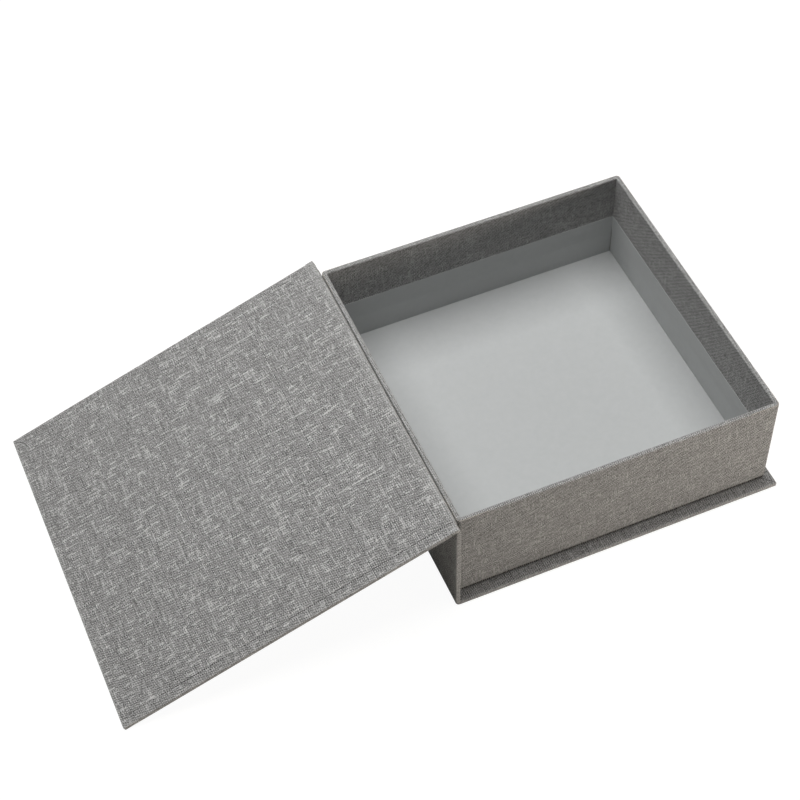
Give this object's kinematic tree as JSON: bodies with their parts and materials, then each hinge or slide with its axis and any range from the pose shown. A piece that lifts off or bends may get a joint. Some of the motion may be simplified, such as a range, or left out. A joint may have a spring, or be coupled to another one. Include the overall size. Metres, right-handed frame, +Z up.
{
  "type": "hinged presentation box",
  "caption": "Square hinged presentation box covered in grey linen book cloth, with a paper-lined tray and a book-style lid thrown open.",
  "frame": {"origin": "on the table under the middle of the tray, on the underside of the base", "axes": "+X from the hinge towards the free side, +Y from front to back, +Z up"},
  "size_m": [0.4258, 0.2248, 0.0792],
  "materials": {
    "linen_cloth": "grey melange linen book cloth, matt",
    "liner_cloth": "grey melange linen book cloth, matt",
    "greyboard": "raw grey bookbinding board",
    "lining_paper": "smooth cool light grey paper, matt",
    "stay_paper": "gummed kraft paper tape"
  },
  "bodies": {
    "case": {"base_board": "greyboard", "spine_board": "greyboard", "case_cloth": "linen_cloth", "spine_liner": "liner_cloth", "tray_floor_board": "greyboard", "tray_front_wall": "greyboard", "tray_back_wall": "greyboard", "tray_left_wall": "greyboard", "tray_right_wall": "greyboard", "corner_stays": "stay_paper", "tray_cloth": "linen_cloth", "floor_paper": "lining_paper", "front_paper": "lining_paper", "back_paper": "lining_paper", "left_paper": "lining_paper", "right_paper": "lining_paper", "hinge_cloth": "linen_cloth", "hinge_liner": "liner_cloth"},
    "lid": {"lid_board": "greyboard", "lid_cloth": "linen_cloth", "lid_liner": "liner_cloth"}
  },
  "joints": [
    {"name": "lid_hinge", "type": "hinge", "parent": "case", "child": "lid", "pos_m": [-0.1086, 0, 0.07713], "axis": [0, 1, 0], "range_deg": [0, 200.03], "deforming": ["hinge_cloth", "hinge_liner"]}
  ]
}
